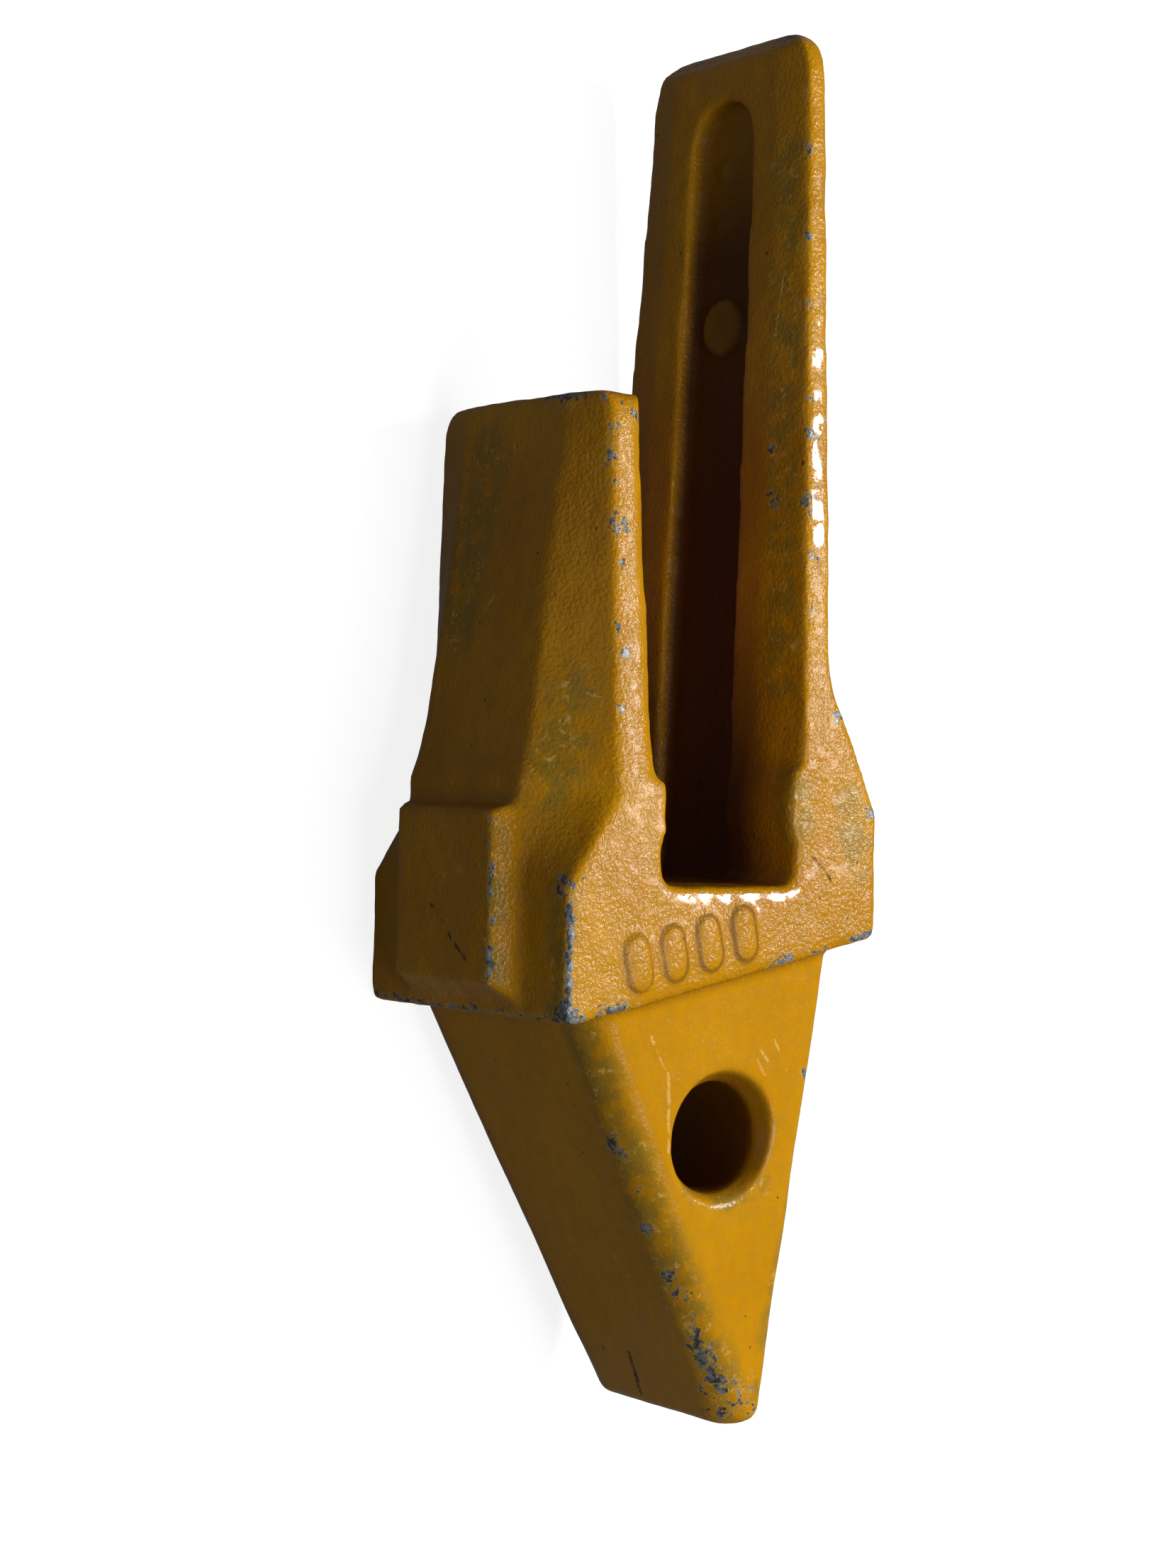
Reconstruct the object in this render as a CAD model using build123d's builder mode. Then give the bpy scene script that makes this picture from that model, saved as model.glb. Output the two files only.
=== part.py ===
from build123d import *
import math
import os

os.makedirs("parts", exist_ok=True)

# Frame: origin on the pin bore axis at the middle of its length.
# +X runs along the legs toward the nose tip, +Z runs along the pin bore,
# +Y is on the long leg's side.

# Nose and pin bore
bore_d = 18.0
mouth_d = 22.0
mouth_depth = 3.4
mouth_cutter = 8.0
nose_tilt = 11.2
shoulder_back = 26.4
nose_reach = 50.0
nose_front_half = 18.15
nose_back_half = 18.8
tip_front_half = 3.72
tip_back_half = 3.23
nose_inset = 4.9
nose_side_slope = 4.0
nose_worn_edge_r = 6.0
nose_back_edge_r = 2.5
tip_r = 2.6

# Collar
collar_width = 55.6
collar_short_face = 37.0
collar_long_face = 28.9
collar_corner_r = 2.0
collar_edge_r = 1.0
pad_rise = 4.7
pad_width = 26.4
pad_foot = 3.0
pad_back_x = -53.6
pad_front_x = -26.0

# Slot that takes the bucket lip plate
lip_plate = 25.0
lip_gap = 0.3
crotch_x = -42.0
slot_centre_y = -3.7
seat_relief = 1.0
seat_front_x = -51.5
seat_back_x = -57.5
seat_ramp = 3.5
relief_ramp = 2.8
slot_draft = 2.1
rim_step = 0.7
short_step = 1.6
slot_edge_r = 1.5
crotch_r = 2.5

# Long leg
long_end_x = -186.5
long_side_y = 18.1
long_end_side_y = 20.1
long_end_narrowing = 7.5
long_rim_inset_root = 10.2
long_rim_inset_end = 6.9
long_bevel = 1.4
long_crown = 3.5
long_crown_half = 12.0
long_crown_foot = 17.5
crown_start = 3.0
crown_back = 14.0
long_flare_x = -76.0
long_flare_r = 22.0
long_taper_x = -66.0
long_shoulder_x = -53.3
shoulder_r = 4.0
long_end_corner_r = 8.0
long_end_bevel = 3.5

# Pocket in the long leg
pocket_end_x = -176.5
pocket_end_half = 7.6
pocket_root_half = 10.2
pocket_depth = 3.2
disc_x = -137.6
disc_d = 10.5
disc_rise = 1.3

# Plain raised bars, in the pocket and on the collar's side face
pocket_bar_x = (-164.9, -155.3)
bar_length = 7.0
bar_width = 3.2
bar_rise = 0.8
side_bar_x = -31.9
side_bar_y = -11.8
side_bar_pitch = 7.5
side_bar_length = 8.4
side_bar_width = 4.2

# Short leg
short_end_x = -121.0
short_strip_half = 14.0
short_strip_near = 14.7
short_root_strip_half = 15.4
short_root_back = 1.2
short_shoulder_x = -42.1
short_end_corner_r = 5.0
inner_bevel = 2.6
leg_edge_r = 1.5
leg_end_r = 1.2

slot_gap = lip_plate + 2 * lip_gap
seat_long_y = slot_centre_y + slot_gap / 2
seat_short_y = slot_centre_y - slot_gap / 2
half = collar_width / 2
long_end_half = half - long_end_narrowing
long_rim_half_root = half - long_rim_inset_root
long_rim_half_end = long_end_half - long_rim_inset_end
short_root_x = seat_back_x - short_root_back
tilt = math.radians(nose_tilt)
draft = math.tan(math.radians(slot_draft))


def front_x(y):
    return (-shoulder_back - y * math.sin(tilt)) / math.cos(tilt)


def rim_y(x):
    return seat_long_y + rim_step + draft * (seat_back_x - x)


def short_inner_y(x):
    return seat_short_y - short_step - draft * (seat_back_x - x)


def section(x):
    return Plane(origin=(x, 0, 0), x_dir=(0, 1, 0), z_dir=(1, 0, 0))


def mirrored(pts):
    return pts + [(y, -z) for y, z in reversed(pts)]


# Nose: a wedge on its own tilted axis, narrowing in width as well
root = shoulder_back + 8
front_slope = (nose_front_half - tip_front_half) / nose_reach
back_slope = (nose_back_half - tip_back_half) / nose_reach
side_slope = math.tan(math.radians(nose_side_slope))
nose_width_at_bore = collar_width - 2 * nose_inset
w_root = nose_width_at_bore / 2 + root * side_slope
w_tip = nose_width_at_bore / 2 - nose_reach * side_slope
nose_dir = (math.cos(tilt), math.sin(tilt), 0)
nose_side = Plane(origin=(0, 0, 0), x_dir=nose_dir, z_dir=(0, 0, 1))
nose_top = Plane(origin=(0, 0, 0), x_dir=nose_dir, z_dir=(math.sin(tilt), -math.cos(tilt), 0))

with BuildPart() as nose:
    with BuildSketch(nose_side):
        with BuildLine():
            Polyline((-root, -nose_front_half - root * front_slope),
                     (nose_reach, -nose_front_half + nose_reach * front_slope),
                     (nose_reach, nose_back_half - nose_reach * back_slope),
                     (-root, nose_back_half + root * back_slope), close=True)
        make_face()
    extrude(amount=w_root + 5, both=True)
    with BuildSketch(nose_top):
        with BuildLine():
            Polyline((-root, -w_root), (nose_reach, -w_tip), (nose_reach, w_tip),
                     (-root, w_root), close=True)
        make_face()
    extrude(amount=collar_width, both=True, mode=Mode.INTERSECT)
    worn = nose.edges().filter_by(lambda e: e.length > nose_reach and e.center().Y < 0)
    fillet(worn, radius=nose_worn_edge_r)
    back = nose.edges().filter_by(lambda e: e.length > nose_reach and e.center().Y > 0)
    fillet(back.sort_by(SortBy.LENGTH)[-2:], radius=nose_back_edge_r)
    fillet(nose.faces().sort_by(Axis((0, 0, 0), nose_dir))[-1].edges(), radius=tip_r)

# Long leg: its inner face has two flat rims with a wide shallow bevel outside each
with BuildPart() as long_leg:
    with BuildSketch() as long_side:
        with BuildLine():
            Polyline((long_end_x + long_end_bevel, rim_y(long_end_x + long_end_bevel)),
                     (long_end_x, rim_y(long_end_x) + 0.8 * long_end_bevel),
                     (long_end_x, long_end_side_y), (long_flare_x, long_side_y),
                     (long_shoulder_x, collar_long_face), (crotch_x, collar_long_face),
                     (crotch_x, seat_long_y), (seat_back_x, seat_long_y),
                     (seat_back_x - seat_ramp, rim_y(seat_back_x - seat_ramp)), close=True)
        make_face()
        corners = long_side.vertices()
        fillet(corners.sort_by_distance((long_flare_x, long_side_y))[0], radius=long_flare_r)
        corners = long_side.vertices()
        fillet(corners.sort_by_distance((long_shoulder_x, collar_long_face))[0], radius=shoulder_r)
    extrude(amount=half, both=True)
    # Outer crown, rising behind the leg's end and fading into the collar
    crown_taper = (long_end_side_y - long_side_y) / (long_flare_x - long_end_x)
    crown_full_y = long_end_side_y - crown_taper * crown_back
    for x, y in ((long_end_x + crown_start, crown_full_y - long_crown - 0.5),
                 (long_end_x + crown_back, crown_full_y),
                 (long_flare_x, long_side_y), (long_shoulder_x, long_side_y)):
        with BuildSketch(section(x)):
            with BuildLine():
                crown = [(y - 1.5, long_crown_foot), (y + long_crown, long_crown_half)]
                Polyline(*mirrored(crown), close=True)
            make_face()
    loft(ruled=True)
    # Plan outline: narrowing width and rounded end corners
    with BuildSketch(Plane.XZ) as long_plan:
        with BuildLine():
            Polyline((long_end_x, long_end_half), (long_taper_x, half), (crotch_x, half),
                     (crotch_x, -half), (long_taper_x, -half), (long_end_x, -long_end_half), close=True)
        make_face()
        fillet(long_plan.vertices().group_by(Axis.X)[0], radius=long_end_corner_r)
    extrude(amount=collar_width, both=True, mode=Mode.INTERSECT)
    # Bevels beside the rims
    for side in (1, -1):
        for x, h, rim in ((long_end_x - 1, long_end_half + 0.2, long_rim_half_end),
                          (seat_back_x - seat_ramp, half + 0.2, long_rim_half_root)):
            with BuildSketch(section(x)):
                with BuildLine():
                    Polyline((rim_y(x), side * rim), (rim_y(x) + long_bevel, side * h),
                             (rim_y(x) + long_bevel, side * (h + 5)),
                             (rim_y(x) - 6, side * (h + 5)), (rim_y(x) - 6, side * rim), close=True)
                make_face()
        loft(ruled=True, mode=Mode.SUBTRACT)

# Short leg: its outer face is a central strip that climbs to the pad, with side facets
# Each row: place along the leg, then side edge, strip and half width as set back from the collar
short_face = collar_short_face
short_length = short_root_x - short_end_x
short_rows = [
    (short_end_x, short_face - 9.9, short_face - 8.0, half - 4.2, short_strip_half),
    (short_end_x + 0.257 * short_length, short_face - 10.1, short_face - 6.6, half - 3.8, short_strip_half),
    (short_end_x + 0.530 * short_length, short_face - 10.4, short_face - 4.4, half - 3.0, short_strip_half),
    (short_end_x + 0.787 * short_length, short_face - 10.5, short_face - 2.3, half - 2.2, short_strip_near),
    (short_root_x, short_face - 10.2, short_face + 0.9, half - 0.7, short_root_strip_half),
]
with BuildPart() as short_leg:
    for x, side, strip, h, strip_half in short_rows:
        inner = short_inner_y(x)
        with BuildSketch(section(x)):
            with BuildLine():
                row = [(inner + 2, h - 2.2), (inner - inner_bevel, h), (-side, h), (-strip, strip_half)]
                Polyline(*mirrored(row), close=True)
            make_face()
    loft(ruled=False)
    end_edges = short_leg.faces().sort_by(Axis.X)[0].edges().sort_by(Axis.Z)
    fillet([end_edges[0], end_edges[-1]], radius=short_end_corner_r)

with BuildPart() as adapter:
    with BuildSketch():
        with BuildLine():
            Polyline((short_shoulder_x, -collar_short_face),
                     (front_x(-collar_short_face), -collar_short_face),
                     (front_x(collar_long_face), collar_long_face),
                     (short_shoulder_x, collar_long_face),
                     (short_shoulder_x, 0), close=True)
        make_face()
    extrude(amount=half, both=True)
    add(long_leg.part)
    add(short_leg.part)
    # Shoulder where the short leg runs into the collar, its corners cut as far as they are rounded
    strip_y = collar_short_face + 0.3
    shoulder_row = (short_shoulder_x, collar_short_face, strip_y, half, short_root_strip_half)
    cuts = (leg_edge_r + 0.1, collar_edge_r + 0.1)
    for (x, side, strip, h, strip_half), cut in zip((short_rows[-1], shoulder_row), cuts):
        with BuildSketch(section(x)):
            with BuildLine():
                row = [(-14, h), (cut - side, h), (-side, h - cut), (-strip, strip_half)]
                Polyline(*mirrored(row), close=True)
            make_face()
    loft(ruled=True)
    # Slot for the lip, open toward the leg ends
    with BuildSketch() as slot:
        with BuildLine():
            Polyline((crotch_x, seat_short_y - seat_relief),
                     (seat_front_x + relief_ramp, seat_short_y - seat_relief),
                     (seat_front_x, seat_short_y),
                     (seat_back_x, seat_short_y),
                     (seat_back_x - seat_ramp, short_inner_y(seat_back_x - seat_ramp)),
                     (long_end_x - 5, short_inner_y(long_end_x - 5)),
                     (long_end_x - 5, seat_long_y - 0.6),
                     (seat_back_x - seat_ramp, seat_long_y - 0.6),
                     (seat_back_x, seat_long_y),
                     (seat_front_x, seat_long_y),
                     (seat_front_x + relief_ramp, seat_long_y + seat_relief),
                     (crotch_x, seat_long_y + seat_relief), close=True)
        make_face()
        fillet(slot.vertices().group_by(Axis.X)[-1], radius=crotch_r)
    extrude(amount=half + 5, both=True, mode=Mode.SUBTRACT)
    # Casting radii
    upright = adapter.edges().filter_by(lambda e: e.length > collar_width - 1)
    front = front_x(-collar_short_face), front_x(collar_long_face)
    upright = upright.filter_by(lambda e: min(abs(e.center().X - x) for x in front) < 0.5)
    fillet(upright, radius=collar_corner_r)
    rims = adapter.edges().filter_by(lambda e: abs(abs(e.center().Z) - half) < 0.1)
    fillet(rims.filter_by(lambda e: e.center().Y < -collar_short_face + 0.1), radius=collar_edge_r)
    rims = adapter.edges().filter_by(lambda e: abs(abs(e.center().Z) - half) < 0.1)
    rims = rims.filter_by(lambda e: seat_back_x - 0.5 < e.center().X < crotch_x + 0.1)
    rims = rims.filter_by(lambda e: abs(e.center().Y - slot_centre_y) < slot_gap / 2 + 1.5)
    fillet(rims, radius=slot_edge_r)
    outer = adapter.edges().filter_by(lambda e: short_end_x + 6 < e.center().X < short_root_x - 3)
    outer = outer.filter_by(lambda e: abs(e.center().Y + short_face - 10.2) < 1.5)
    fillet(outer.filter_by(lambda e: abs(e.center().Z) > half - 7), radius=leg_edge_r)
    ends = adapter.edges().filter_by(lambda e: short_end_x - 1 < e.center().X < short_end_x + 0.5)
    fillet(ends.filter_by(lambda e: e.center().Y < 11 - short_face), radius=leg_end_r)
    # Raised pad on the outer face, with a sloped foot and a sloped front
    with BuildSketch(Plane.XZ.offset(collar_short_face - 1)):
        with Locations(((pad_back_x + pad_front_x) / 2 + 1, 0)):
            Rectangle(pad_front_x - pad_back_x + 6, pad_width + 2 * pad_foot)
    with BuildSketch(Plane.XZ.offset(collar_short_face + pad_rise)):
        with Locations(((pad_back_x + pad_front_x) / 2, 0)):
            Rectangle(pad_front_x - pad_back_x, pad_width)
    loft()
    add(nose.part)
    # Pocket in the long leg, tapering toward its round end, open at the crotch
    pocket_length = (crotch_x - pocket_end_x) / math.cos(math.radians(slot_draft))
    rim_plane = Plane(origin=(pocket_end_x, rim_y(pocket_end_x), 0),
                      x_dir=(1, -draft, 0), z_dir=(-draft, -1, 0))
    with BuildSketch(rim_plane.offset(3)):
        with BuildLine():
            a = Line((pocket_length, -pocket_root_half), (pocket_end_half, -pocket_end_half))
            b = ThreePointArc(a @ 1, (0, 0), (pocket_end_half, pocket_end_half))
            c = Line(b @ 1, (pocket_length, pocket_root_half))
            Line(c @ 1, a @ 0)
        make_face()
    extrude(amount=-pocket_depth - 3, mode=Mode.SUBTRACT)
    floor_plane = rim_plane.offset(-pocket_depth)
    with BuildSketch(floor_plane):
        with Locations((disc_x - pocket_end_x, 0)):
            Circle(disc_d / 2)
    extrude(amount=disc_rise, taper=8)
    with BuildSketch(floor_plane):
        with Locations(*[(x - pocket_end_x, 0) for x in pocket_bar_x]):
            SlotOverall(bar_length, bar_width, rotation=90)
    extrude(amount=bar_rise, taper=8)
    # Plain raised bars on the collar's side face, parallel to the front edge
    with BuildSketch(Plane.XY.offset(half)):
        with Locations(Location((side_bar_x, side_bar_y), -90 + nose_tilt)):
            with GridLocations(side_bar_pitch, 1, 4, 1):
                SlotOverall(side_bar_length, side_bar_width, rotation=90)
    extrude(amount=bar_rise, taper=8)
    # Pin bore with a flared mouth on both sides
    Cylinder(radius=bore_d / 2, height=collar_width + 10, mode=Mode.SUBTRACT)
    cutter_top_r = bore_d / 2 + mouth_cutter * (mouth_d - bore_d) / 2 / mouth_depth
    cutter_z = nose_width_at_bore / 2 - mouth_depth + mouth_cutter / 2
    for side in (1, -1):
        with Locations(Location((0, 0, side * cutter_z), (0 if side > 0 else 180, 0, 0))):
            Cone(bottom_radius=bore_d / 2, top_radius=cutter_top_r, height=mouth_cutter, mode=Mode.SUBTRACT)
print(adapter.part.volume, adapter.part.is_valid, len(adapter.part.solids()))

adapter.part.label = "adapter"
export_step(adapter.part, "parts/adapter.step")
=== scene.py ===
import math

import bmesh
import bpy
from mathutils import Matrix, Vector, kdtree, noise


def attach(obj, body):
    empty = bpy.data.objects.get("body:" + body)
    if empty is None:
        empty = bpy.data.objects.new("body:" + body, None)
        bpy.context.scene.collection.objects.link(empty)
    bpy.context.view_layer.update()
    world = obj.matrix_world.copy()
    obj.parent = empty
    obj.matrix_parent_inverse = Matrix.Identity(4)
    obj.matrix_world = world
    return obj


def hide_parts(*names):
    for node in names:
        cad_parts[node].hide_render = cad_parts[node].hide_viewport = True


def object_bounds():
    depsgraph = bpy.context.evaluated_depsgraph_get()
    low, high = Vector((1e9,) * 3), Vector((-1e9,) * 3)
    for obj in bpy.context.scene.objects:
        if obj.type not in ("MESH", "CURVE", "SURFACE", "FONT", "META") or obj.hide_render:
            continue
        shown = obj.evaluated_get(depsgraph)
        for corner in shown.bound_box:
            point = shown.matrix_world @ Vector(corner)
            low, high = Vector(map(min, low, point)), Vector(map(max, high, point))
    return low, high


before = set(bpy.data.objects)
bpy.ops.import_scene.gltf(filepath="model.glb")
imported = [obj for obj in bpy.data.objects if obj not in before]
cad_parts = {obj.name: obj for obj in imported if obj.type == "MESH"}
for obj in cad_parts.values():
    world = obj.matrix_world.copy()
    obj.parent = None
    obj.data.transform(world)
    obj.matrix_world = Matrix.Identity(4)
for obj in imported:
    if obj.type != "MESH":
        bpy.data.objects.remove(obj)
cad_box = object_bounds()

MM = 0.001

# Skin of the casting, in mm
voxel = 0.74
soften_rounds = 3
lump_size = 14.0
lump_depth = 0.22
dimple_size = 3.2
dimple_depth = 0.10
grain_size = 1.7
grain_depth = 0.045
skin_inset = 0.16

# Frame of the nose: its axis is tilted, and it starts at the collar's front face
nose_tilt = math.radians(11.2)
nose_axis = Vector((math.cos(nose_tilt), math.sin(nose_tilt), 0))
collar_front = -26.4

# Colours, linear
ochre = (0.52, 0.238, 0.003)
ochre_deep = (0.43, 0.180, 0.001)
ochre_pale = (0.66, 0.40, 0.10)
ochre_olive = (0.27, 0.165, 0.016)
steel = (0.27, 0.29, 0.30)
steel_dark = (0.060, 0.063, 0.066)
# Dark colour for dirty pits and gouges, and for painted shade in the hollows
grime_and_shade = (0.060, 0.026, 0.004)
# Painted shade colour for the pocket, the slot's end and the bore
painted_recess_shade = (0.070, 0.018, 0.001)

# Deep places darkened with painted shade: the long leg's pocket, the slot's end and the pin bore, in mm
pocket_half = 10.4
crotch_x = -42.0
slot_middle_y = -3.7
slot_half = 15.5
bore_r = 9.0
mouth_r = 11.0

# Plain raised bars on the collar's side face, in mm
bars_centre = Vector((-31.9, -11.8, 27.8))
bars_pitch = 7.5
bar_length = 8.4
bar_width = 4.2


def rim_y(x):
    """The long leg's rim, which leans away from the slot toward the leg's end."""
    return 9.8 - math.tan(math.radians(2.1)) * (x + 57.5)


# Chips down to steel, where the casting has been knocked: places in mm and radius
chips = [
    # Short leg's outer edge
    ([(-114, -27, 23.6)], 1.5), ([(-110.5, -27, 23.6)], 1.9), ([(-98.8, -25.6, 24.3)], 2.4),
    ([(-106, -26, 24)], 0.9), ([(-93, -25, 24.6)], 1.0), ([(-87, -25.4, 24.9)], 1.2),
    ([(-83, -26, 25)], 1.3), ([(-79, -25, 25.3)], 1.0), ([(-70, -25.5, 25.7)], 1.0),
    # Long leg's side edge
    ([(-176, 15.4, 20.4)], 1.3), ([(-165, 15.1, 21.4)], 1.5), ([(-150.5, 14.6, 22.5)], 1.3),
    ([(-139, 14.0, 23)], 1.1), ([(-123, 14.2, 24)], 1.0), ([(-117, 14.4, 24.4)], 1.2),
    ([(-105.6, 13.0, 25.3)], 1.8), ([(-96, 15.0, 25.9)], 2.0), ([(-87, 13.4, 26.5)], 1.2),
    ([(-70, 19, 27.5)], 1.3), ([(-54, 27.4, 27.6)], 2.0),
    # Long leg's rim
    ([(-164, 13.7, 14)], 1.1), ([(-114.6, 12.1, 17.3)], 1.3), ([(-106, 11.8, 17.5)], 1.5),
    # Collar
    ([(-42.1, -36.8, 27.2)], 2.9), ([(-21.6, -36.7, 27)], 3.0), ([(-33, 27.6, 27.4)], 2.2),
    ([(-22.4, -22.3, 27.4)], 2.0), ([(-29.2, 8.0, 27.7)], 1.3), ([(-31.1, 16.6, 27.6)], 1.3),
    # Raised pad's edge
    ([(-52, -41.6, 12.6)], 1.0), ([(-27.2, -41.4, 13.4)], 1.3),
    # Worn edge of the nose, its tip and its far edge
    ([(-11.3, -25.2, 19.6)], 1.2), ([(0.9, -19.1, 18.5)], 2.3), ([(7, -15.3, 19.0)], 1.3),
    ([(14.9, -11.8, 18)], 1.7), ([(44.5, 6.1, 18.4)], 4.2), ([(-9.7, 17.6, 23.1)], 1.3),
    ([(10.0, 17.0, 22.0)], 0.9),
]

# Edges rubbed down to steel along a stretch
bare_edges = [
    ([(-120.6, -28.4, 8), (-120.2, -28.1, 17.4), (-119.5, -27, 21.4), (-117.4, -22.5, 23.0)], 1.3),
    ([(-184.8, 15.2, -14), (-186.3, 16.4, -4), (-186.3, 16.6, 8), (-185.2, 17, 16)], 1.2),
    ([(-42.1, -36.8, 27.2), (-36, -36.2, 27.6), (-28.7, -36.0, 27.7), (-21.6, -36.7, 27)], 1.0),
    ([(-21.2, -37.0, -25.3), (-20.4, -36.8, -12), (-20.2, -36.8, 4), (-20.4, -36.8, 27)], 1.05),
    ([(-21.0, -35.5, 27.2), (-22.3, -26.3, 27.6), (-23.6, -20.0, 27.5)], 1.15),
    ([(-28.7, 5.4, 27.7), (-30.9, 16.7, 27.7), (-33.7, 27.6, 27.4)], 0.9),
    ([(-48, -41.7, 12.9), (-42.7, -41.5, 13.3), (-32.8, -41.5, 13.3), (-27.2, -41.5, 13.3)], 0.8),
    ([(23, -7.6, 17.8), (30.5, -3.2, 18.0), (38.7, 1.7, 18.0), (45.0, 6.2, 18.4)], 1.8),
]

# Edges where the enamel is rubbed thin and dirty
rubbed_edges = [
    ([(-17, -27.6, 20.4), (1.6, -18.0, 19.6), (13.6, -11.8, 19.2), (25.8, -5.4, 19.0), (41, 3.8, 19.2)], 3.0),
    ([(-54.9, 22.1, 27.8), (-51.6, 23.1, 27.8), (-45.7, 24.7, 27.8)], 2.6),
    ([(-50, -41.2, 13.6), (-27, -41.2, 13.8)], 1.6), ([(-41, -36.6, 25), (-22, -36.6, 25)], 2.0),
    ([(-165, 14.2, 17), (-115, 12.6, 19), (-75, 11.3, 22)], 2.4), ([(-58, 10.6, 25), (-52, 10.6, 26)], 2.6),
    ([(8.1, 9.9, 22.2), (10.5, 2.1, 22.1), (8.3, -6.4, 22.0)], 1.2),
    ([(-16, 24, 20.5), (4.5, 18.4, 21.2), (30, 13.6, 20), (44, 11.5, 19)], 1.5),
    ([(-112, -30.0, -6), (-100, -31.2, -9), (-84, -33, -9)], 4.0), ([(-72, -31, 20), (-58, -33, 18)], 3.5),
]

# Runs of thick wet-looking enamel
thick_runs = [
    ([(-179.5, 18.2, 20.8), (-166.9, 18.2, 21.6), (-154.7, 17.6, 22.4), (-149.0, 17.0, 22.7)], 1.6),
    ([(-139.4, 16.6, 23.3), (-118.9, 16.6, 24.6)], 1.8), ([(-114.2, 16.0, 24.9), (-100.1, 16.4, 25.8)], 1.4),
    ([(-41.7, -15.5, 27.5), (-41.4, -11.9, 27.7)], 1.2),
    ([(-41.6, -8.9, 27.6), (-41.3, -1, 27.8), (-41.5, 11.2, 27.7)], 1.5),
    ([(-39.5, 0.5, 27.9), (-36.5, 2.0, 27.9)], 1.1), ([(-53, 10.6, 27.6), (-56.4, 10.2, 27.4)], 1.1),
    ([(8.1, 10.3, 22.2), (9.3, 8.5, 22.2)], 0.8),
]

# Fine scratches, light ones and dark ones: two ends and width in mm
scratches = [
    ((-17.3, -16.8, 24.3), (-10.8, -12.6, 23.8), 0.34), ((-10.8, -12.6, 23.8), (1.4, -11.6, 23.0), 0.34),
    ((-15.7, 6.1, 23.9), (-11.4, 9.7, 23.5), 0.30), ((-15.8, 10.1, 23.8), (-10.8, 12.9, 23.5), 0.26),
    ((-12.8, 6.4, 23.7), (-10.2, 8.2, 23.5), 0.40), ((-113.5, -29.6, 0.4), (-107.9, -30.2, 1.5), 0.26),
    ((-88.3, -32.6, 0.1), (-83.2, -33.3, -4.3), 0.26), ((-145, 13.4, 17.7), (-132.5, 12.7, 16.0), 0.28),
    ((-97.3, -31.5, 0.4), (-93.6, -32.0, -2.7), 0.24), ((-48.0, 15.4, 27.8), (-43.2, 20.2, 27.8), 0.30),
]
gouges = [
    ((39.4, 0.7, -2.1), (47.0, 4.6, -2.9), 0.5), ((-37.6, -41.7, -2.7), (-29.3, -41.7, 6.9), 0.34),
    ((-46.5, 13.8, 27.8), (-42.8, 18.4, 27.8), 0.30),
]


def leg_mesh_copy(node):
    """A merged copy of the CAD node's mesh as a new object."""
    mesh = node.data.copy()
    bm = bmesh.new()
    bm.from_mesh(mesh)
    bmesh.ops.remove_doubles(bm, verts=bm.verts, dist=0.002 * MM)
    bm.to_mesh(mesh)
    bm.free()
    mesh.materials.clear()
    piece = bpy.data.objects.new("casting", mesh)
    bpy.context.scene.collection.objects.link(piece)
    return piece


def remeshed(piece, size):
    """Even, closed skin over the same form."""
    modifier = piece.modifiers.new("skin", "REMESH")
    modifier.mode = "VOXEL"
    modifier.voxel_size = size
    modifier.use_smooth_shade = True
    graph = bpy.context.evaluated_depsgraph_get()
    mesh = bpy.data.meshes.new_from_object(piece.evaluated_get(graph))
    piece.modifiers.clear()
    piece.data = mesh


def soften(piece, rounds):
    """Rounds the edges as sand casting does, and notes where the form is convex or hollow."""
    bm = bmesh.new()
    bm.from_mesh(piece.data)
    bm.normal_update()
    before = [(v.co.copy(), v.normal.copy()) for v in bm.verts]
    for _ in range(14):
        bmesh.ops.smooth_vert(bm, verts=bm.verts, factor=0.5, use_axis_x=True, use_axis_y=True, use_axis_z=True)
    bend = [(co - v.co).dot(n) / MM for v, (co, n) in zip(bm.verts, before)]
    for v, (co, _) in zip(bm.verts, before):
        v.co = co
    for _ in range(rounds):
        bmesh.ops.smooth_vert(bm, verts=bm.verts, factor=0.5, use_axis_x=True, use_axis_y=True, use_axis_z=True)
    bm.to_mesh(piece.data)
    bm.free()
    return bend


def cast_skin(piece):
    """Low lumps and dimples, all of them inward, so that the outer size stays."""
    bm = bmesh.new()
    bm.from_mesh(piece.data)
    bm.normal_update()
    for v in bm.verts:
        p = v.co / MM
        sand = 1.0 if p.dot(nose_axis) < collar_front else 0.35
        push = lump_depth * noise.noise(p / lump_size)
        push += dimple_depth * sand * noise.noise(p / dimple_size + Vector((7.0, 3.0, 1.0)))
        push += grain_depth * sand * noise.noise(p / grain_size + Vector((2.0, 9.0, 4.0)))
        v.co += v.normal * MM * min(push - skin_inset, 0.0)
    bm.to_mesh(piece.data)
    bm.free()


def store(piece, name, values):
    layer = piece.data.attributes.new(name, "FLOAT", "POINT")
    layer.data.foreach_set("value", values)


def closeness(piece, paths):
    """How near each point of the skin lies to the marked paths, from 0 to 1."""
    marks = []
    for points, radius in paths:
        ends = [Vector(point) for point in points]
        marks.append((ends[0], radius))
        for a, b in zip(ends, ends[1:]):
            count = math.ceil((b - a).length / (0.4 * radius))
            marks += [(a.lerp(b, k / count), radius) for k in range(1, count + 1)]
    tree = kdtree.KDTree(len(marks))
    for index, (place, _) in enumerate(marks):
        tree.insert(place, index)
    tree.balance()
    values = []
    for v in piece.data.vertices:
        _, index, away = tree.find(v.co / MM)
        values.append(max(0.0, 1.0 - away / (2.2 * marks[index][1])))
    return values


def step(value, low, high):
    """0 below low, 1 above high and a straight rise between; low above high turns it round."""
    return min(max((value - low) / (high - low), 0.0), 1.0)


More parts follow.
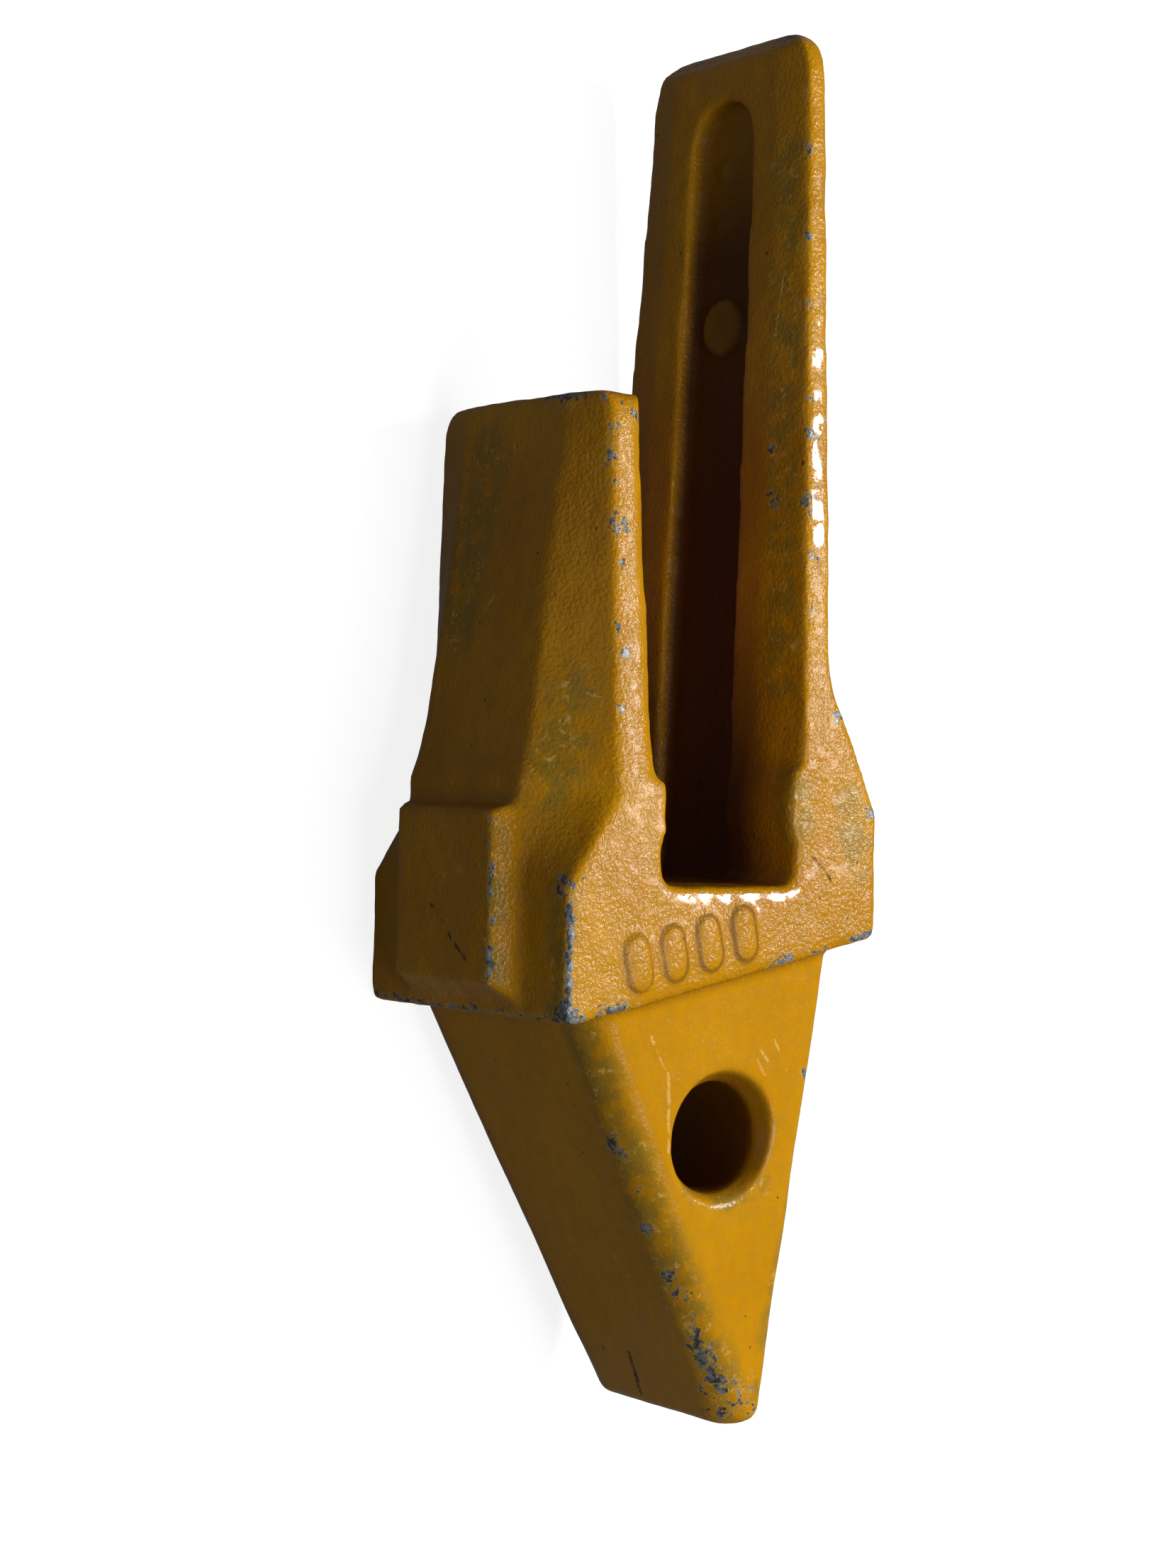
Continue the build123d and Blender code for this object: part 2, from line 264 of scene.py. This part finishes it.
def recess_shade(p):
    """How much painted shade a point in a sunken place gets, from 0 to 1: the pocket, the slot's end, the bore and
    one side of the bore's mouth.
    """
    above_rim = p.y - rim_y(p.x)
    pocket = step(above_rim, 0.7, 2.6) * step(abs(p.z), pocket_half + 0.8, pocket_half - 1.0)
    pocket *= step(p.x, crotch_x + 1, crotch_x) * step(above_rim, 5.0, 4.2) * step(p.x, -185, -150)
    crotch = step(p.x, -95.0, -58.0) * step(abs(p.z), 22.0, 14.0)
    crotch *= step(p.x, crotch_x + 0.6, crotch_x - 0.2)
    crotch *= step(abs(p.y - slot_middle_y), slot_half, slot_half - 1.0)
    from_bore = math.hypot(p.x, p.y)
    bore = step(from_bore, bore_r + 0.8, bore_r + 0.2) * step(abs(p.z), 22.0, 19.5)
    mouth = 0.62 * step(from_bore, mouth_r + 0.4, mouth_r - 0.5) * step(p.y - 0.5 * p.x, -8.0, 6.0)
    return max(pocket, crotch, 0.88 * bore, mouth * step(abs(p.z), 15.0, 18.0))


def bar_foot_rings():
    """Paths round the raised bars' feet, where the colour is darkened."""
    across = Vector((nose_axis.y, -nose_axis.x, 0))
    paths = []
    for place in (-1.5, -0.5, 0.5, 1.5):
        centre = bars_centre + across * place * bars_pitch
        path = []
        for step_round in range(17):
            angle = step_round * math.pi / 8
            lengthwise = (bar_length - bar_width) / 2 * (1 if math.sin(angle) > 0 else -1)
            lengthwise += (bar_width / 2 + 0.3) * math.sin(angle)
            path.append(centre + nose_axis * lengthwise + across * (bar_width / 2 + 0.3) * math.cos(angle))
        paths.append((path, 0.42))
    return paths


def upward(piece):
    """How squarely the skin faces either side of the casting, from 0 to 1."""
    return [step(abs(v.normal.z), 0.88, 0.98) for v in piece.data.vertices]


class Nodes:
    """Short ways to add nodes to one tree."""

    def __init__(self, tree):
        self.tree = tree

    def add(self, kind, **settings):
        node = self.tree.nodes.new(kind)
        for key, value in settings.items():
            setattr(node, key, value)
        return node

    def link(self, a, b):
        self.tree.links.new(a, b)

    def math(self, operation, a, b=None, clamp=False):
        node = self.add("ShaderNodeMath", operation=operation, use_clamp=clamp)
        for slot, value in zip(node.inputs, (a, b)):
            if value is None:
                continue
            if isinstance(value, (int, float)):
                slot.default_value = value
            else:
                self.link(value, slot)
        return node.outputs[0]

    def vector(self, operation, a, b=None, output=0):
        node = self.add("ShaderNodeVectorMath", operation=operation)
        for slot, value in zip(node.inputs, (a, b)):
            if value is None:
                continue
            if isinstance(value, (tuple, Vector)):
                slot.default_value = value
            else:
                self.link(value, slot)
        return node.outputs[output]

    def ramp(self, value, low, high, to_low=0.0, to_high=1.0):
        node = self.add("ShaderNodeMapRange", interpolation_type="SMOOTHSTEP")
        self.link(value, node.inputs["Value"])
        for name, number in (("From Min", low), ("From Max", high), ("To Min", to_low), ("To Max", to_high)):
            node.inputs[name].default_value = number
        return node.outputs["Result"]

    def noise(self, place, scale, detail=3.0, rough=0.55, distortion=0.0):
        node = self.add("ShaderNodeTexNoise")
        self.link(place, node.inputs["Vector"])
        node.inputs["Scale"].default_value = scale
        node.inputs["Detail"].default_value = detail
        node.inputs["Roughness"].default_value = rough
        node.inputs["Distortion"].default_value = distortion
        return node.outputs["Fac"]

    def mix(self, fac, a, b):
        node = self.add("ShaderNodeMix", data_type="RGBA")
        for slot, value in zip((node.inputs[0], node.inputs[6], node.inputs[7]), (fac, a, b)):
            if isinstance(value, tuple):
                slot.default_value = (*value, 1.0)
            elif isinstance(value, (int, float)):
                slot.default_value = value
            else:
                self.link(value, slot)
        return node.outputs[2]


def new_group(name, inputs, outputs):
    group = bpy.data.node_groups.new(name, "ShaderNodeTree")
    for label, kind, value in inputs:
        socket = group.interface.new_socket(label, in_out="INPUT", socket_type=kind)
        if value is not None:
            socket.default_value = value
    for label, kind in outputs:
        group.interface.new_socket(label, in_out="OUTPUT", socket_type=kind)
    nodes = Nodes(group)
    return group, nodes, nodes.add("NodeGroupInput").outputs, nodes.add("NodeGroupOutput").inputs


def make_stroke_group():
    """A thin wandering line between two points."""
    group, n, given, out = new_group(
        "stroke",
        [("Place", "NodeSocketVector", None), ("Start", "NodeSocketVector", None), ("End", "NodeSocketVector", None),
         ("Width", "NodeSocketFloat", 0.0003), ("Wander", "NodeSocketFloat", 0.0006)],
        [("Mask", "NodeSocketFloat")])
    jitter = n.add("ShaderNodeTexNoise")
    n.link(given["Place"], jitter.inputs["Vector"])
    jitter.inputs["Scale"].default_value = 240.0
    centred = n.vector("SUBTRACT", jitter.outputs["Color"], (0.5, 0.5, 0.5))
    moved = n.add("ShaderNodeVectorMath", operation="SCALE")
    n.link(centred, moved.inputs[0])
    n.link(given["Wander"], moved.inputs["Scale"])
    place = n.vector("ADD", given["Place"], moved.outputs[0])
    line = n.vector("SUBTRACT", given["End"], given["Start"])
    from_start = n.vector("SUBTRACT", place, given["Start"])
    along = n.math("DIVIDE", n.vector("DOT_PRODUCT", from_start, line, 1), n.vector("DOT_PRODUCT", line, line, 1), clamp=True)
    foot = n.add("ShaderNodeVectorMath", operation="SCALE")
    n.link(line, foot.inputs[0])
    n.link(along, foot.inputs["Scale"])
    away = n.vector("DISTANCE", from_start, foot.outputs[0], 1)
    share = n.math("DIVIDE", away, given["Width"])
    solid = n.ramp(share, 1.4, 0.5)
    broken = n.ramp(n.noise(given["Place"], 900.0, 2.0), 0.36, 0.5)
    n.link(n.math("MULTIPLY", solid, broken), out["Mask"])
    return group


def make_skin_group():
    """Height of the sprayed sand casting: soft lumps, orange peel and grit."""
    group, n, given, out = new_group(
        "sprayed_casting",
        [("Place", "NodeSocketVector", None), ("Sand", "NodeSocketFloat", 1.0)],
        [("Height", "NodeSocketFloat"), ("Grit", "NodeSocketFloat")])
    broad = n.noise(given["Place"], 260.0, 2.0, 0.5)
    peel = n.noise(given["Place"], 1500.0, 2.0, 0.5)
    grit = n.noise(given["Place"], 2400.0, 2.0, 0.5)
    height = n.math("MULTIPLY", broad, 0.30)
    height = n.math("ADD", height, n.math("MULTIPLY", n.math("MULTIPLY", peel, 0.60), given["Sand"]))
    height = n.math("ADD", height, n.math("MULTIPLY", n.math("MULTIPLY", grit, 0.07), given["Sand"]))
    n.link(height, out["Height"])
    n.link(grit, out["Grit"])
    return group


def make_chip_group():
    """Where the paint is gone: broken patches on knocked spots and along sharp edges."""
    group, n, given, out = new_group(
        "chipped_paint",
        [("Place", "NodeSocketVector", None), ("Edge", "NodeSocketFloat", 0.0), ("Spot", "NodeSocketFloat", 0.0)],
        [("Bare", "NodeSocketFloat"), ("Rim", "NodeSocketFloat")])
    ragged = n.noise(given["Place"], 620.0, 6.0, 0.66, 0.7)
    gaps = n.ramp(n.noise(given["Place"], 170.0, 2.0, 0.5), 0.34, 0.56, 0.45, 1.0)
    patchy = n.noise(given["Place"], 75.0, 3.0, 0.6)
    spot = n.math("ADD", n.math("MULTIPLY", n.math("MULTIPLY", given["Spot"], gaps), 0.95), n.math("MULTIPLY", n.math("SUBTRACT", ragged, 0.5), 2.4))
    edge = n.math("MULTIPLY", given["Edge"], n.ramp(patchy, 0.50, 0.66))
    edge = n.math("ADD", edge, n.math("MULTIPLY", n.math("SUBTRACT", ragged, 0.5), 1.7))
    spot_mask = n.math("MULTIPLY", n.ramp(spot, 0.60, 0.66), n.ramp(given["Spot"], 0.0, 0.1))
    edge_mask = n.math("MULTIPLY", n.ramp(edge, 0.74, 0.80), n.ramp(given["Edge"], 0.1, 0.35))
    bare = n.math("MAXIMUM", spot_mask, edge_mask)
    spot_rim = n.math("MULTIPLY", n.ramp(spot, 0.46, 0.60), n.ramp(given["Spot"], 0.0, 0.1))
    edge_rim = n.math("MULTIPLY", n.ramp(edge, 0.62, 0.74), n.ramp(given["Edge"], 0.1, 0.35))
    rim = n.math("MAXIMUM", spot_rim, edge_rim)
    n.link(bare, out["Bare"])
    n.link(n.math("SUBTRACT", rim, bare, clamp=True), out["Rim"])
    return group


def placed_group(n, group, **values):
    node = n.add("ShaderNodeGroup", node_tree=group)
    for name, value in values.items():
        slot = node.inputs[name]
        if isinstance(value, (int, float, tuple, Vector)):
            slot.default_value = value
        else:
            n.link(value, slot)
    return node.outputs


def worn_enamel():
    """Glossy ochre enamel over a sand casting, chipped to steel."""
    material = bpy.data.materials.new("worn_enamel")
    material.use_nodes = True
    tree = material.node_tree
    tree.nodes.clear()
    n = Nodes(tree)
    shader = n.add("ShaderNodeBsdfPrincipled")
    surface = n.add("ShaderNodeOutputMaterial")
    n.link(shader.outputs[0], surface.inputs[0])
    place = n.add("ShaderNodeTexCoord").outputs["Object"]
    edge = n.add("ShaderNodeAttribute", attribute_name="edge").outputs["Fac"]
    hollow = n.add("ShaderNodeAttribute", attribute_name="hollow").outputs["Fac"]
    spot = n.add("ShaderNodeAttribute", attribute_name="spot").outputs["Fac"]
    recess_shade_mask = n.add("ShaderNodeAttribute", attribute_name="recess_shade").outputs["Fac"]
    rubbing = n.add("ShaderNodeAttribute", attribute_name="rubbing").outputs["Fac"]
    thick = n.add("ShaderNodeAttribute", attribute_name="thick").outputs["Fac"]
    bar_feet_dark = n.add("ShaderNodeAttribute", attribute_name="bar_feet_dark").outputs["Fac"]
    upward = n.add("ShaderNodeAttribute", attribute_name="upward").outputs["Fac"]

    along_nose = n.vector("DOT_PRODUCT", place, nose_axis, 1)
    nose = n.ramp(along_nose, (collar_front - 0.5) * MM, (collar_front + 2.0) * MM)
    sand = n.math("SUBTRACT", 1.0, n.math("MULTIPLY", nose, 0.72))
    skin = placed_group(n, make_skin_group(), Place=place, Sand=sand)
    chips = placed_group(n, make_chip_group(), Place=place, Edge=edge, Spot=spot)

    # Colour of the enamel: thick and thin sprayed areas, rubbed peaks, dirty pits, and painted shade in the hollows
    cloudy = n.ramp(n.noise(place, 28.0, 4.0, 0.6), 0.34, 0.68)
    coat = n.mix(cloudy, ochre_deep, ochre)
    coat = n.mix(n.math("MULTIPLY", nose, 0.55), coat, ochre)
    mottle = n.ramp(n.noise(place, 420.0, 5.0, 0.7), 0.40, 0.60)
    coat = n.mix(n.math("MULTIPLY", n.math("SUBTRACT", 1.0, mottle), 0.20), coat, ochre_olive)
    dusty = n.math("MULTIPLY", n.ramp(rubbing, 0.05, 0.7), n.ramp(n.noise(place, 240.0, 5.0, 0.65), 0.38, 0.58))
    coat = n.mix(n.math("MULTIPLY", dusty, 0.85), coat, ochre_olive)
    flecks = n.ramp(n.noise(place, 520.0, 6.0, 0.75), 0.57, 0.64)
    patches = n.ramp(n.noise(place, 60.0, 2.0, 0.5), 0.54, 0.70)
    patches = n.math("MAXIMUM", n.math("MULTIPLY", patches, 0.60), n.ramp(rubbing, 0.10, 0.7))
    rubbed = n.math("MULTIPLY", flecks, patches)
    rubbed = n.math("MAXIMUM", n.math("MULTIPLY", rubbed, 0.75), n.math("MULTIPLY", chips["Rim"], 0.60))
    coat = n.mix(rubbed, coat, ochre_pale)
    pits = n.ramp(n.noise(place, 480.0, 1.0, 0.4), 0.215, 0.185)
    # Painted shade in the concave hollows, plus dirty pits and the darkened bar feet
    dirt_and_shade = n.math("MAXIMUM", n.math("MULTIPLY", hollow, 0.75), n.math("MULTIPLY", pits, 0.8))
    # Darker colour in a ring round each bar's foot
    dirt_and_shade = n.math("MAXIMUM", dirt_and_shade, n.math("MULTIPLY", n.ramp(bar_feet_dark, 0.25, 0.75), 0.55))
    coat = n.mix(dirt_and_shade, coat, grime_and_shade)
    # Painted shade in the pocket, the slot's end, the bore and one side of its mouth
    coat = n.mix(n.math("MULTIPLY", recess_shade_mask, 0.94), coat, painted_recess_shade)

    stroke = make_stroke_group()
    light_lines = None
    for start, end, width in scratches:
        mask = placed_group(n, stroke, Place=place, Start=Vector(start) * MM, End=Vector(end) * MM,
                            Width=width * MM, Wander=0.9 * MM)["Mask"]
        light_lines = mask if light_lines is None else n.math("MAXIMUM", light_lines, mask)
    dark_lines = None
    for start, end, width in gouges:
        mask = placed_group(n, stroke, Place=place, Start=Vector(start) * MM, End=Vector(end) * MM,
                            Width=width * MM, Wander=1.6 * MM)["Mask"]
        dark_lines = mask if dark_lines is None else n.math("MAXIMUM", dark_lines, mask)
    coat = n.mix(n.math("MULTIPLY", light_lines, 0.7), coat, ochre_pale)
    coat = n.mix(n.math("MULTIPLY", dark_lines, 0.85), coat, grime_and_shade)

    bare_steel = n.mix(n.ramp(n.noise(place, 700.0, 4.0, 0.7), 0.38, 0.62), steel_dark, steel)
    colour = n.mix(chips["Bare"], coat, bare_steel)
    n.link(colour, shader.inputs["Base Color"])
    n.link(n.math("MULTIPLY", chips["Bare"], 0.35), shader.inputs["Metallic"])

    rough = n.ramp(skin["Grit"], 0.3, 0.7, 0.14, 0.24)
    rough = n.math("ADD", rough, n.math("MULTIPLY", dirt_and_shade, 0.35))
    rough = n.math("ADD", rough, n.math("MULTIPLY", chips["Bare"], 0.22))
    rough = n.math("ADD", rough, n.math("MULTIPLY", recess_shade_mask, 0.25))
    n.link(rough, shader.inputs["Roughness"])
    shader.inputs["Specular IOR Level"].default_value = 0.18

    # Thick enamel stays wet-looking on the casting's side faces
    runs = n.math("MULTIPLY", thick, n.ramp(n.noise(place, 330.0, 4.0, 0.65), 0.44, 0.54))
    film = n.math("MULTIPLY", upward, n.ramp(n.noise(place, 420.0, 3.0, 0.6), 0.50, 0.60))
    gloss = n.math("MAXIMUM", n.math("MULTIPLY", runs, 1.6), n.math("MULTIPLY", film, 0.08), clamp=True)
    n.link(n.math("MULTIPLY", gloss, n.math("SUBTRACT", 1.0, nose)), shader.inputs["Coat Weight"])
    shader.inputs["Coat Roughness"].default_value = 0.10

    height = n.math("SUBTRACT", skin["Height"], n.math("MULTIPLY", chips["Bare"], 0.30))
    height = n.math("SUBTRACT", height, n.math("MULTIPLY", dark_lines, 0.35))
    height = n.math("ADD", height, n.math("MULTIPLY", light_lines, 0.12))
    bump = n.add("ShaderNodeBump")
    bump.inputs["Strength"].default_value = 0.9
    bump.inputs["Distance"].default_value = 0.45 * MM
    n.link(height, bump.inputs["Height"])
    n.link(bump.outputs[0], shader.inputs["Normal"])
    return material


def make_casting():
    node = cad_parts["adapter"]
    piece = leg_mesh_copy(node)
    remeshed(piece, voxel * MM)
    bend = soften(piece, soften_rounds)
    store(piece, "edge", [min(max(b / 0.9, 0.0), 1.0) for b in bend])
    # How concave the skin is; the colour darkens there as painted shade
    store(piece, "hollow", [min(max(-b / 1.1 - 0.12, 0.0), 1.0) for b in bend])
    cast_skin(piece)
    store(piece, "spot", [max(pair) for pair in zip(closeness(piece, chips), closeness(piece, bare_edges))])
    store(piece, "rubbing", closeness(piece, rubbed_edges))
    store(piece, "thick", closeness(piece, thick_runs))
    store(piece, "bar_feet_dark", closeness(piece, bar_foot_rings()))
    store(piece, "upward", upward(piece))
    store(piece, "recess_shade", [recess_shade(v.co / MM) for v in piece.data.vertices])
    piece.data.materials.append(worn_enamel())
    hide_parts("adapter")
    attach(piece, "root")
    return piece


def pale_floor(height):
    """A wide pale floor, white to the camera, that keeps the object's shadow."""
    bm = bmesh.new()
    bmesh.ops.create_grid(bm, x_segments=1, y_segments=1, size=6.0)
    bmesh.ops.translate(bm, verts=bm.verts, vec=(0, 0, height))
    mesh = bpy.data.meshes.new("floor")
    bm.to_mesh(mesh)
    bm.free()
    floor = bpy.data.objects.new("floor", mesh)
    bpy.context.scene.collection.objects.link(floor)
    material = bpy.data.materials.new("pale_floor")
    material.use_nodes = True
    tree = material.node_tree
    tree.nodes.clear()
    n = Nodes(tree)
    plain = n.add("ShaderNodeBsdfDiffuse")
    plain.inputs["Color"].default_value = (0.08, 0.08, 0.08, 1.0)
    seen = n.add("ShaderNodeBsdfDiffuse")
    seen.inputs["Color"].default_value = (0.28, 0.28, 0.28, 1.0)
    glow = n.add("ShaderNodeEmission")
    glow.inputs["Color"].default_value = (1.0, 1.0, 1.0, 1.0)
    glow.inputs["Strength"].default_value = 0.86
    white = n.add("ShaderNodeAddShader")
    n.link(seen.outputs[0], white.inputs[0])
    n.link(glow.outputs[0], white.inputs[1])
    path = n.add("ShaderNodeLightPath")
    mirrored = n.math("MULTIPLY", path.outputs["Is Glossy Ray"], 0.06)
    direct = n.math("MAXIMUM", path.outputs["Is Camera Ray"], mirrored)
    direct = n.math("MAXIMUM", direct, path.outputs["Is Transmission Ray"])
    mix = n.add("ShaderNodeMixShader")
    n.link(direct, mix.inputs[0])
    n.link(plain.outputs[0], mix.inputs[1])
    n.link(white.outputs[0], mix.inputs[2])
    surface = n.add("ShaderNodeOutputMaterial")
    n.link(mix.outputs[0], surface.inputs[0])
    mesh.materials.append(material)


def aimed_at(place, target):
    """A lamp's matrix that points its -Z at the target."""
    turn = (Vector(target) - Vector(place)).to_track_quat("-Z", "Y")
    return Matrix.Translation(place) @ turn.to_matrix().to_4x4()


def soft_lamp(name, place, target, width, depth, watts, colour=(1.0, 1.0, 1.0)):
    lamp = bpy.data.lights.new(name, "AREA")
    lamp.shape = "RECTANGLE"
    lamp.size = width
    lamp.size_y = depth
    lamp.energy = watts
    lamp.color = colour
    holder = bpy.data.objects.new(name, lamp)
    bpy.context.scene.collection.objects.link(holder)
    holder.matrix_world = aimed_at(place, target)


def studio_light():
    centre = (-0.06, 0.0, 0.0)
    # The window over the long leg's side is what the glossy side faces mirror
    soft_lamp("window", (-0.20, 0.66, 0.75), centre, 0.28, 0.20, 8.5)
    soft_lamp("overhead", (0.15, 0.0, 1.04), centre, 0.60, 0.60, 7.0)
    soft_lamp("front", (-0.10, -1.30, 0.30), centre, 0.90, 0.60, 1.1)
    world = bpy.data.worlds.new("studio")
    world.use_nodes = True
    background = world.node_tree.nodes["Background"]
    background.inputs["Color"].default_value = (1.0, 1.0, 1.0, 1.0)
    background.inputs["Strength"].default_value = 0.05
    bpy.context.scene.world = world


def camera():
    """The photograph's view, worked out from the casting's own edges."""
    data = bpy.data.cameras.new("camera")
    data.sensor_width = 36.0
    data.lens = 66.26
    holder = bpy.data.objects.new("camera", data)
    bpy.context.scene.collection.objects.link(holder)
    right = Vector((-0.0221, 0.7906, 0.6119))
    back = Vector((-0.0037, -0.6121, 0.7908))
    up = back.cross(right).normalized()
    right = up.cross(back).normalized()
    turn = Matrix((right, up, back)).transposed().to_4x4()
    holder.matrix_world = Matrix.Translation((-0.05962, -0.30877, 0.38324)) @ turn
    bpy.context.scene.camera = holder


bpy.context.scene.view_settings.view_transform = "Standard"
casting = make_casting()
pale_floor(cad_box[0][2])
studio_light()
camera()
